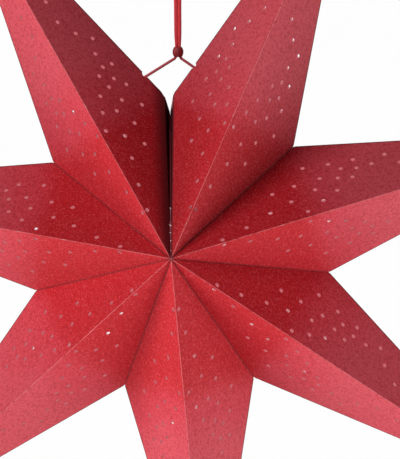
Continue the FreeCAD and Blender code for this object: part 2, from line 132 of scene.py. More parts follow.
@dataclass(frozen=True)
class StarPlan:
    """The star's driving sizes, in metres and degrees, and the corners that follow from them."""

    points: int = 7
    point_reach: float = 300.0 * MM
    notch_reach: float = 105.5 * MM
    half_depth: float = 81.0 * MM
    seam_opening: float = 3.2
    star_roll: float = 3.6
    centre_drop: float = 200.0 * MM
    card: float = 0.4 * MM

    @property
    def centre(self) -> Vector:
        """Middle of the star."""
        return Vector((0.0, 0.0, -self.centre_drop))

    @property
    def point_angle(self) -> float:
        """Angle from a notch to the next tip, seen from the front."""
        return (360.0 - self.seam_opening) / (2 * self.points)

    def apex(self, face: Face) -> Vector:
        """The corner where all panels of a face meet."""
        depth = -self.half_depth if face is Face.FRONT else self.half_depth
        return self.centre + Vector((0.0, depth, 0.0))

    def rim(self, reach: float, turn: float) -> Vector:
        """A corner of the outline at an angle anticlockwise from +X."""
        angle = math.radians(turn)
        return self.centre + Vector((reach * math.cos(angle), 0.0, reach * math.sin(angle)))

    def tip(self, k: int) -> Vector:
        """Tip of point k, counted clockwise from the seam."""
        return self.rim(self.point_reach, self._first_turn - self.point_angle * (2 * k + 1))

    def notch(self, k: int) -> Vector:
        """Notch before point k. Notches 0 and 7 are the seam's two corners."""
        return self.rim(self.notch_reach, self._first_turn - self.point_angle * 2 * k)

    @property
    def _first_turn(self) -> float:
        """Angle of the seam's right corner."""
        return 90.0 + self.star_roll - self.seam_opening / 2

    @property
    def ridge(self) -> float:
        """Length of a ridge crease."""
        return math.hypot(self.point_reach, self.half_depth)

    @property
    def notch_place(self) -> Pair:
        """The notch in a panel's own plan.

        Returns:
            How far it lies along the ridge from the apex, and across it.
        """
        apex = self.apex(Face.FRONT)
        along = (self.notch(0) - apex).dot((self.tip(0) - apex).normalized())
        valley = math.hypot(self.notch_reach, self.half_depth)
        return along, math.sqrt(valley ** 2 - along ** 2)

    @property
    def valley_slope(self) -> float:
        """Angle at the apex between ridge and valley, in radians."""
        return math.atan2(self.notch_place[1], self.notch_place[0])

    @property
    def side_slope(self) -> float:
        """Angle at the tip between ridge and side crease, in radians."""
        return math.atan2(self.notch_place[1], self.ridge - self.notch_place[0])

    def normal(self, panel: Panel) -> Vector:
        """Outward normal of a panel.

        Args:
            panel: The panel.

        Returns:
            The unit normal.
        """
        apex = self.apex(panel.face)
        across = self.notch(panel.notch) - apex
        normal = (self.tip(panel.k) - apex).cross(across).normalized()
        return normal if normal.dot(apex - self.centre) > 0 else -normal

    def seam_side(self, panel: Panel) -> Hand | None:
        """The panel's hand where its valley edge is one of the seam's, or None."""
        return panel.hand if panel.notch in (0, self.points) else None


PLAN = StarPlan()


class Value:
    """A shader socket that takes part in Python expressions."""

    def __init__(self, shop: Nodes, socket: Any) -> None:
        """Wrap an output socket of a node tree."""
        self.shop = shop
        self.socket = socket

    def _maths(self, operation: str, *others: Any) -> Value:
        """Add a Math node on this value and others."""
        inputs = {0: self, **dict(enumerate(others, 1))}
        return self.shop.node("ShaderNodeMath", {"operation": operation}, inputs)

    def __add__(self, other: Any) -> Value:
        """self + other."""
        return self._maths("ADD", other)

    __radd__ = __add__

    def __sub__(self, other: Any) -> Value:
        """self - other."""
        return self._maths("SUBTRACT", other)

    def __rsub__(self, other: float) -> Value:
        """other - self."""
        return self.shop.node("ShaderNodeMath", {"operation": "SUBTRACT"}, {0: other, 1: self})

    def __mul__(self, other: Any) -> Value:
        """self * other."""
        return self._maths("MULTIPLY", other)

    __rmul__ = __mul__

    def sine(self) -> Value:
        """Sine of this value."""
        return self._maths("SINE")

    def fade(self, start: float, end: float, most: float) -> Value:
        """A smooth step.

        Args:
            start: Where it leaves 0, which may be above the end.
            end: Where it reaches its most.
            most: Its most.

        Returns:
            Its height.
        """
        settings = {"interpolation_type": "SMOOTHSTEP"}
        inputs = {"Value": self, "From Min": start, "From Max": end, "To Max": most}
        return self.shop.node("ShaderNodeMapRange", settings, inputs, "Result")


class Nodes:
    """The nodes of a material or a world, written as expressions."""

    def __init__(self, owner: Any) -> None:
        """Open the node tree of a new material or world."""
        owner.use_nodes = True
        self.tree = owner.node_tree

    def node(self, kind: str, settings: dict, inputs: dict, out: Any = 0) -> Value:
        """Add a node.

        Args:
            kind: The node's type.
            settings: Its own settings, set before its sockets.
            inputs: Socket name or number to a value or a Value.
            out: The output socket to wrap.

        Returns:
            The wrapped output.
        """
        made = self.tree.nodes.new(kind)
        for key, value in settings.items():
            setattr(made, key, value)
        for key, value in inputs.items():
            self.feed(made.inputs[key], value)
        return Value(self, made.outputs[out])

    def feed(self, socket: Any, value: Any) -> None:
        """Link a Value to an input socket, or set a plain value on it.

        Args:
            socket: The input socket.
            value: A Value, a number, a vector or a colour without alpha.
        """
        if isinstance(value, Value):
            self.tree.links.new(value.socket, socket)
        elif isinstance(value, tuple) and len(value) == 3 and socket.type == "RGBA":
            socket.default_value = (*value, 1.0)
        else:
            socket.default_value = value

    def blend(self, amount: Any, first: Any, second: Any) -> Value:
        """Mix two colours by an amount from 0, the first, to 1, the second."""
        settings = {"data_type": "RGBA", "clamp_factor": True}
        return self.node("ShaderNodeMix", settings, {0: amount, 6: first, 7: second}, 2)

    def place(self) -> Value:
        """Object coordinates."""
        return self.node("ShaderNodeTexCoord", {}, {}, "Object")

    def split(self, vector: Value) -> tuple[Value, ...]:
        """The three parts of a vector."""
        parts = self.node("ShaderNodeSeparateXYZ", {}, {0: vector}).socket.node.outputs
        return tuple(Value(self, part) for part in parts)

    def plan(self) -> tuple[Value, ...]:
        """The two coordinates of the piece's own UV map."""
        return self.split(self.node("ShaderNodeTexCoord", {}, {}, "UV"))[:2]

    def grain(self, where: Value, per_metre: float, detail: float) -> Value:
        """Noise with that many features in a metre."""
        inputs = {"Vector": where, "Scale": per_metre, "Detail": detail}
        return self.node("ShaderNodeTexNoise", {}, inputs, "Fac")

    def bump(self, height: Value, distance: float, strength: float) -> Value:
        """A normal from a height."""
        inputs = {"Height": height, "Distance": distance, "Strength": strength}
        return self.node("ShaderNodeBump", {}, inputs, "Normal")


class Shader(Nodes):
    """The nodes of a material with a Principled shader."""

    def __init__(self, name: str) -> None:
        """Start the material.

        Args:
            name: Its name.
        """
        self.material = bpy.data.materials.new(name)
        super().__init__(self.material)
        self.principled = self.tree.nodes["Principled BSDF"]
        self.output = self.tree.nodes["Material Output"]

    def dress(self, **sockets: Any) -> Material:
        """Feed the Principled shader's sockets.

        Args:
            sockets: Values by socket name, with underscores for its spaces.

        Returns:
            The material.
        """
        for key, value in sockets.items():
            self.feed(self.principled.inputs[key.replace("_", " ")], value)
        return self.material


@dataclass(frozen=True)
class CardFinish:
    """Paper card: a speckled red printed side with pale wear on its ridges, over a pale inner side.

    Bands say where a colour starts to show, where it shows most, and how much, either in the levels
    of a noise or in metres from the apex or a crease. Grains are in features per metre.
    """

    deep: Colour = (0.55, 0.010, 0.017)
    # Painted reflection: pinker and paler reds where the white surroundings light the points' outer
    # parts.
    reflected_pink: Colour = (0.63, 0.040, 0.062)
    reflected_pale: Colour = (0.66, 0.100, 0.130)
    fleck: Colour = (0.70, 0.130, 0.155)
    shade: Colour = (0.36, 0.006, 0.012)
    # Pale pink: real wear along the ridges, and the painted highlight on the lit end flap's upper end.
    wear_and_highlight: Colour = (0.70, 0.230, 0.240)
    # Painted shade: the dark red laid along the creases, the open seam and the inner side near the
    # apex.
    painted_shade: Colour = (0.10, 0.010, 0.014)
    # Painted shadow: the end flaps' near-black red, deep in the seam.
    shadow: Colour = (0.045, 0.006, 0.008)
    inner: Colour = (0.74, 0.380, 0.420)
    core: Colour = (0.68, 0.230, 0.250)
    glow: Colour = (0.60, 0.100, 0.110)
    # Painted shade along the valley edges: a thin line in every valley, and wider bands beside the open
    # seam.
    valley_shade: Band = (0.0010, 0.0002, 0.6)
    slight_seam_shade: Band = (0.0020, 0.0002, 0.9)
    wide_seam_shade: Band = (0.0130, 0.0002, 0.9)
    reflected_pink_band: Band = (0.098, 0.122, 1.0)
    reflected_pale_band: Band = (0.125, 0.180, 0.6)
    fleck_band: Band = (0.47, 0.72, 0.55)
    clump_band: Band = (0.52, 0.34, 0.34)
    shade_band: Band = (0.50, 0.32, 0.40)
    ridge_band: Band = (0.00055, 0.00015, 0.7)
    rub_band: Band = (0.32, 0.52, 1.0)
    # Painted shade: the dark line along the side crease.
    side_shade_band: Band = (0.0013, 0.0005, 0.85)
    apex_shade_band: Band = (0.028, 0.019, 0.7)
    seam_shade_band: Band = (0.0160, 0.0130, 1.0)
    inner_fibres: Band = (0.35, 0.65, 0.35)
    edge_fibres: Band = (0.35, 0.65, 0.50)
    flap_flecks: Band = (0.50, 0.72, 0.20)
    flap_top_highlight: Band = (-0.106, -0.098, 1.0)
    slant: float = 0.18
    reflected_pink_drift: float = 0.02
    reflected_pale_drift: float = 0.05
    speckle_grain: float = 900.0
    clump_grain: float = 420.0
    cloud_grain: float = 22.0
    fibre_grain: float = 700.0
    edge_grain: float = 1500.0
    sheen: float = 0.18
    flap_sheen: float = 0.10
    inner_light: float = 0.24
    edge_light: float = 0.20

    def outer(self, name: str, crease_shade: Band) -> Material:
        """The printed side of a panel, whose UV map is the panel's own plan in metres.

        Args:
            name: The material's name.
            crease_shade: The band of painted shade along the valley edge.

        Returns:
            The material.
        """
        shader = Shader(name)
        where = shader.place()
        along, across = shader.plan()
        speckle = shader.grain(where, self.speckle_grain, 3.0)
        clumps = shader.grain(where, self.clump_grain, 2.0)
        cloud = shader.grain(where, self.cloud_grain, 2.0)
        rub = shader.grain(where, self.clump_grain, 4.0)
        # Painted reflection, from a slanted line through the notch outwards, where the neighbouring
        # point no longer shades the panel.
        reach = along - across * self.slant
        reflected_pink = (reach + cloud * self.reflected_pink_drift).fade(*self.reflected_pink_band)
        reflected_pale = (reach + cloud * self.reflected_pale_drift).fade(*self.reflected_pale_band)
        side_gap = self._crease_gap(PLAN.ridge - along, across, PLAN.side_slope)
        valley_gap = self._crease_gap(along, across, PLAN.valley_slope)
        layers = (
            # Painted reflection of the white surroundings on the points' outer parts.
            (reflected_pink, self.reflected_pink),
            (reflected_pale, self.reflected_pale),
            (speckle.fade(*self.fleck_band), self.fleck),
            (clumps.fade(*self.clump_band), self.shade),
            (speckle.fade(*self.shade_band), self.shade),
            (across.fade(*self.ridge_band) * rub.fade(*self.rub_band), self.wear_and_highlight),
            # Painted shade: a dark line along the side crease, where the fold's rounding turns from the
            # light.
            (side_gap.fade(*self.side_shade_band), self.painted_shade),
            # Painted shade along the valley edge.
            (valley_gap.fade(*crease_shade), self.painted_shade),
        )
        paint = self.deep
        for amount, colour in layers:
            paint = shader.blend(amount, paint, colour)
        return shader.dress(
            Base_Color=paint,
            Roughness=0.62 - speckle * 0.15,
            Normal=shader.bump(speckle * 0.7 + clumps * 0.5, 0.00012, 0.6),
            Specular_IOR_Level=self.sheen,
        )

    def inside(self, kind: Bare) -> Material:
        """The bare inner side, which glows a little: painted light that stands in for the light coming
        through the card.

        Args:
            kind: A plain panel's, one with painted shade in a band along the open seam, or a flap's,
            which has no plan and no painted shade near the apex.

        Returns:
            The material.
        """
        shader = Shader(kind.value)
        fibre = shader.grain(shader.place(), self.fibre_grain, 3.0)
        tint = shader.blend(fibre.fade(*self.inner_fibres), self.inner, self.glow)
        if kind is not Bare.FLAP:
            along, across = shader.plan()
            # Painted shade: the inner side darkens towards the apex, where the panels close in.
            tint = shader.blend(along.fade(*self.apex_shade_band), tint, self.painted_shade)
        if kind is Bare.SEAM:
            # Painted shade in a band along the open seam, where the inside is seen through the gap.
            valley_gap = self._crease_gap(along, across, PLAN.valley_slope)
            tint = shader.blend(valley_gap.fade(*self.seam_shade_band), tint, self.painted_shade)
        # Painted light: the inner side glows in its own tint.
        return shader.dress(
            Base_Color=tint, Roughness=0.85, Normal=shader.bump(fibre, 0.0001, 0.5),
            Emission_Color=tint, Emission_Strength=self.inner_light,
        )

    def _crease_gap(self, along: Value, across: Value, slope: float) -> Value:
        """Distance of a place in the plan from a crease that leaves the ridge at a slope."""
        return along * math.sin(slope) - across * math.cos(slope)

    def edge(self) -> Material:
        """The cut edge of the card, round its outline and in its punched holes, with a weak painted
        glow.

        Returns:
            The material.
        """
        shader = Shader("card_edge")
        fibre = shader.grain(shader.place(), self.edge_grain, 3.0)
        tint = shader.blend(fibre.fade(*self.edge_fibres), self.core, self.deep)
        # Painted light: a weak glow that keeps the hole walls out of shade.
        return shader.dress(
            Base_Color=tint, Roughness=0.9, Normal=shader.bump(fibre, 0.0001, 0.7),
            Emission_Color=tint, Emission_Strength=self.edge_light,
        )

    def flap(self, lit: bool) -> Material:
        """The end flaps' seam side, in the near-black red of painted shadow.

        Args:
            lit: Whether the flap's upper end gets a painted highlight.

        Returns:
            The material.
        """
        shader = Shader("card_flap_lit" if lit else "card_flap")
        where = shader.place()
        speckle = shader.grain(where, self.speckle_grain, 3.0)
        paint = shader.blend(speckle.fade(*self.flap_flecks), self.shadow, self.shade)
        if lit:
            # Painted highlight: the flap's upper end near the notch, pale where light reaches into the
            # seam.
            _, _, height = shader.split(where)
            paint = shader.blend(height.fade(*self.flap_top_highlight), paint, self.wear_and_highlight)
        return shader.dress(
            Base_Color=paint, Roughness=0.8, Normal=shader.bump(speckle, 0.0001, 0.6),
            Specular_IOR_Level=self.flap_sheen,
        )


@dataclass(frozen=True)
class CordFinish:
    """Matte braided cord."""

    thread: Colour = (0.82, 0.032, 0.046)
    crown: Colour = (0.95, 0.075, 0.092)
    plies_along: float = 5200.0
    plies_around: float = 25.13
    ply_share: float = 0.5
    fibre_grain: float = 2600.0
    fibre_band: Band = (0.4, 0.7, 0.4)

    def material(self, name: str) -> Material:
        """Thread colour with paler fine fibres, and paler crowns as painted highlight on the plies'
        tops, along the cord's UV map.

        Args:
            name: The material's name.

        Returns:
            The material.
        """
        shader = Shader(name)
        along, around = shader.plan()
        ply = ((along * self.plies_along + around * self.plies_around).sine() + 1.0) * 0.5
        fibre = shader.grain(shader.place(), self.fibre_grain, 3.0)
        # The crown colour shows on the paler fibres and, as painted highlight, on the tops of the
        # plies.
        crowns = ply * self.ply_share + fibre.fade(*self.fibre_band)
        return shader.dress(
            Base_Color=shader.blend(crowns, self.thread, self.crown), Roughness=0.8,
            Normal=shader.bump(ply * 0.6 + fibre * 0.4, 0.00012, 0.6), Sheen_Weight=0.25,
        )


@dataclass(frozen=True)
class BeadFinish:
    """Turned wood under dark red lacquer."""

    lacquer: Colour = (0.33, 0.020, 0.026)
    thin: Colour = (0.46, 0.032, 0.040)
    turned_grain: Place = (900.0, 900.0, 160.0)
    thin_band: Band = (0.4, 0.7, 1.0)

    def material(self) -> Material:
        """Lacquer that shows a little of the turned grain.

        Returns:
            The material.
        """
        shader = Shader("bead_lacquer")
        inputs = {"Vector": shader.place(), "Scale": self.turned_grain}
        grain = shader.grain(shader.node("ShaderNodeMapping", {}, inputs), 1.0, 3.0)
        tint = shader.blend(grain.fade(*self.thin_band), self.lacquer, self.thin)
        return shader.dress(
            Base_Color=tint, Roughness=grain * 0.1 + 0.55, Normal=shader.bump(grain, 0.00005, 0.5),
            Coat_Weight=0.05,
        )


def new_piece(name: str, mesh: Mesh, materials: Sequence[Material]) -> Object:
    """Turn a bmesh into an object at the origin, and report it.

    Args:
        name: The piece's name.
        mesh: Its finished bmesh, which is freed.
        materials: Its materials, in slot order.

    Returns:
        The object, linked to the scene.
    """
    data = bpy.data.meshes.new(name)
    mesh.to_mesh(data)
    mesh.free()
    for material in materials:
        data.materials.append(material)
    piece = bpy.data.objects.new(name, data)
    bpy.context.scene.collection.objects.link(piece)
    LOG.info("%s: %d faces", name, len(data.polygons))
    return piece


def drawn_from(verts: Sequence[Vert], made: list) -> list[Vert]:
    """The vertices that an extrusion drew out of others.

    Args:
        verts: The vertices that it started from.
        made: All that it made.

    Returns:
        The new vertices, in the order of the old ones.
    """
    new = {item for item in made if isinstance(item, Vert)}
    drawn = []
    for vert in verts:
        others = (edge.other_vert(vert) for edge in vert.link_edges)
        drawn.append(next(other for other in others if other in new))
    return drawn


@dataclass(frozen=True)
class Trim:
    """How far one side of a panel stands back from its creases, and the cuts at its apex and tip."""

    ridge: float
    side: float
    valley: float
    valley_at_apex: float
    apex_cut: float
    tip_cut: float


@dataclass
class CardPoints:
    """The seven points, four punched panels each, cut to one plan."""

    plan: StarPlan
    finish: CardFinish
    slack: float = 0.02 * MM
    open_gap: float = 0.10 * MM
    open_apex_gap: float = 0.22 * MM
    fold_travel: float = 16.0
    fold_margin: float = 1.0
    apex_cut: float = 0.6 * MM
    inner_apex_cut: float = 3.0 * MM
    tip_cut: float = 1.2 * MM
    inner_tip_cut: float = 4.0 * MM
    notch_cut: float = 0.5 * MM
    curled_notch_cut: float = 1.2 * MM
    punch: float = 3.0 * MM
    punch_sides: int = 20
    crease_round: float = 0.22 * MM
    left_hole: Pair = (19.6 * MM, 5.2 * MM)
    right_hole: Pair = (24.5 * MM, 4.5 * MM)
    cord_hole_sides: int = 16
    light_holes: tuple[Pair, ...] = (
        (0.105, 0.042), (0.142, 0.106), (0.170, 0.201), (0.107, 0.439), (0.200, 0.266),
        (0.152, 0.460), (0.292, 0.076), (0.114, 0.666), (0.237, 0.332), (0.305, 0.158),
        (0.211, 0.463), (0.315, 0.237), (0.187, 0.619), (0.272, 0.398), (0.247, 0.511),
        (0.318, 0.355), (0.299, 0.458), (0.256, 0.583), (0.335, 0.456), (0.346, 0.527),
        (0.427, 0.363), (0.514, 0.224), (0.569, 0.220), (0.646, 0.193), (0.748, 0.107),
    )

    def build(self) -> None:
        """Make and dress all panels."""
        # Painted shade along every valley edge, widest on the panel left of the open seam, which lies
        # in shadow.
        printed = {
            None: self.finish.outer("card_outer", self.finish.valley_shade),
            Hand.LEFT: self.finish.outer("card_outer_seam_right", self.finish.slight_seam_shade),
            Hand.RIGHT: self.finish.outer("card_outer_seam_left", self.finish.wide_seam_shade),
        }
        plain = self.finish.inside(Bare.PANEL)
        bare = {None: plain, Hand.LEFT: plain, Hand.RIGHT: self.finish.inside(Bare.SEAM)}
        edge = self.finish.edge()
        for k in range(self.plan.points):
            for face in Face:
                for hand in Hand:
                    panel = Panel(k, face, hand)
                    seam = self.plan.seam_side(panel)
                    materials = [printed[seam], bare[seam], edge]
                    piece = new_piece(f"{panel.node}_card", self._panel(panel), materials)
                    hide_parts(panel.node)
                    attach(piece, panel.node)

    def _trims(self, face: Face) -> tuple[Trim, Trim]:
        """How far the two sides of a panel stand back, the inner one also for the card's thickness.

        Args:
            face: Front or back, where the creases are open and need more room.

        Returns:
            The outer side's and the inner side's.
        """
        front = face is Face.FRONT
        gap, apex_gap = (self.slack, self.slack) if front else (self.open_gap, self.open_apex_gap)
        left, right = (self.plan.normal(Panel(0, Face.FRONT, hand)) for hand in Hand)
        ridge_half = math.pi / 2 - left.angle(right) / 2
        side_half = math.asin(abs(left.y))
        folded_ridge = ridge_half - math.radians(self.fold_travel / 2 + self.fold_margin)
        folded_side = side_half - math.radians(self.fold_margin)
        ridge_gap = gap + self.plan.card / math.tan(folded_ridge)
        side_gap = self.slack + self.plan.card / math.tan(folded_side)
        outer = Trim(gap, self.slack, gap, apex_gap, self.apex_cut, self.tip_cut)
        inner = Trim(ridge_gap, side_gap, gap, apex_gap, self.inner_apex_cut, self.inner_tip_cut)
        return outer, inner

    def _outline(self, trim: Trim, panel: Panel) -> tuple[list[Pair], list[int]]:
        """A panel's outline in its own plan: ridge, tip, side, notch, valley and apex edges in turn.

        Args:
            trim: How far the outline stands back.
            panel: The panel.

        Returns:
            The outline, and the corners where its straight stretches on a fold start.
        """
        valley_slope, side_slope = self.plan.valley_slope, self.plan.side_slope
        valley_rise = trim.valley / math.cos(valley_slope)
        apex_rise = trim.valley_at_apex / math.cos(valley_slope)
        side_rise = trim.side / math.cos(side_slope)
        curled = self.plan.seam_side(panel) is Hand.RIGHT
        high = self.plan.notch_place[1] - (self.curled_notch_cut if curled else self.notch_cut)
        near, far = trim.apex_cut, self.plan.ridge - trim.tip_cut
        ridge_edge = [(near, trim.ridge), (far, trim.ridge)]
        side_edge = [
            (far, trim.tip_cut * math.tan(side_slope) - side_rise),
            (self.plan.ridge - (high + side_rise) / math.tan(side_slope), high),
        ]
        folds = [0, 2]
        hole = self._cord_hole_place(panel)
        if hole:
            side_edge[1:1] = self._cord_notch(hole, trim.side)
            folds.append(len(side_edge))
        free_edge = [
            ((high + valley_rise) / math.tan(valley_slope), high),
            (near, near * math.tan(valley_slope) - apex_rise),
        ]
        return ridge_edge + side_edge + free_edge, folds

    def _cord_notch(self, hole: Place, side_gap: float) -> list[Pair]:
        """The half circle that the cord's hole takes out of the side edge, from the tip's end on.

        Args:
            hole: Its middle in the panel's plan, and its radius.
            side_gap: How far the edge stands back from the side crease.

        Returns:
            Points along the half circle.
        """
        along, across, radius = hole
        reach = math.sqrt(radius ** 2 - side_gap ** 2)
        first = -self.plan.side_slope + math.atan2(-side_gap, reach)
        sweep = math.pi - 2 * math.atan2(side_gap, reach)
        sides = self.cord_hole_sides
        turns = [first - sweep * i / sides for i in range(sides + 1)]
        return [(along + radius * math.cos(a), across + radius * math.sin(a)) for a in turns]

    def _cord_hole_place(self, panel: Panel) -> Place | None:
        """Where the cord passes a panel's side crease.

        Args:
            panel: The panel.

        Returns:
            The hole's middle in the panel's plan and its radius, or None for a panel without a cord.
        """
        seam = self.plan.seam_side(panel)
        if seam is None:
            return None
        reach, width = self.right_hole if seam is Hand.LEFT else self.left_hole
        along, across = self.plan.notch_place
        slope = self.plan.side_slope
        return along + reach * math.cos(slope), across - reach * math.sin(slope), width / 2

    def _panel(self, panel: Panel) -> Mesh:
        """One panel: its outline and punched holes, filled, thickened and set on the star.

        Args:
            panel: The panel.

        Returns:
            The finished bmesh, with a UV map that is the panel's plan in metres.
        """
        outer_trim, inner_trim = self._trims(panel.face)
        outer, folds = self._outline(outer_trim, panel)
        inner, _ = self._outline(inner_trim, panel)
        mesh = bmesh.new()
        uv = mesh.loops.layers.uv.new("plan")
        corners = [mesh.verts.new((x, y, 0.0)) for x, y in outer]
        rim = [mesh.edges.new(pair) for pair in zip(corners, corners[1:] + corners[:1])]
        ridge, (along, across) = self.plan.ridge, self.plan.notch_place
        for a, b in self.light_holes:
            middle = Matrix.Translation((a * ridge + b * along, b * across, 0.0))
            bmesh.ops.create_circle(
                mesh, segments=self.punch_sides, radius=self.punch / 2, matrix=middle,
            )
        bmesh.ops.triangle_fill(mesh, use_beauty=True, edges=mesh.edges[:], normal=(0.0, 0.0, 1.0))
        for flat in mesh.faces:
            flat.normal_update()
            if flat.normal.z < 0:
                flat.normal_flip()
        self._thicken(mesh, corners, inner, [rim[start] for start in folds])
        for flat in mesh.faces:
            for loop in flat.loops:
                loop[uv].uv = loop.vert.co.xy
        self._stand(mesh, panel)
        return mesh

    def _thicken(
        self, mesh: Mesh, corners: list[Vert], inner: list[Pair], creased: list[Edge],
    ) -> None:
        """Give the filled plan the card's thickness, lean its edges to the mitres and round its folds.

        Args:
            mesh: The filled plan.
            corners: Its outline's corners.
            inner: Outline of the inner side, corner by corner.
            creased: The edges on a fold.
        """
        plan = mesh.faces[:]
        made = bmesh.ops.extrude_face_region(mesh, geom=plan, use_keep_orig=True)["geom"]
        low = [item for item in made if isinstance(item, Vert)]
        bmesh.ops.translate(mesh, verts=low, vec=(0.0, 0.0, -self.plan.card))
        for corner, place in zip(drawn_from(corners, made), inner):
            corner.co = Vector((*place, -self.plan.card))
        bmesh.ops.recalc_face_normals(mesh, faces=mesh.faces[:])
        for flat in mesh.faces:
            flat.normal_update()
            if flat.normal.z > LEVEL:
                flat.material_index = Slot.OUTER.value
            elif flat.normal.z < -LEVEL:
                flat.material_index = Slot.INNER.value
            else:
                flat.material_index = Slot.EDGE.value
        bmesh.ops.bevel(
            mesh, geom=creased, offset=self.crease_round, offset_type="OFFSET", segments=2,
            profile=0.5, affect="EDGES", material=-1, clamp_overlap=True,
        )

    def _stand(self, mesh: Mesh, panel: Panel) -> None:
        """Move a finished plan to its place on the star, mirrored where its outer side needs it.

        Args:
            mesh: The plan, with its outer side up.
            panel: The panel.
        """
        apex = self.plan.apex(panel.face)
        along = (self.plan.tip(panel.k) - apex).normalized()
        reach = self.plan.notch(panel.notch) - apex
        across = (reach - along * reach.dot(along)).normalized()
        out = self.plan.normal(panel)
        turn = Matrix((along, across, out)).transposed().to_4x4()
        bmesh.ops.transform(mesh, matrix=Matrix.Translation(apex) @ turn, verts=mesh.verts[:])
        if turn.determinant() < 0:
            bmesh.ops.reverse_faces(mesh, faces=mesh.faces[:])


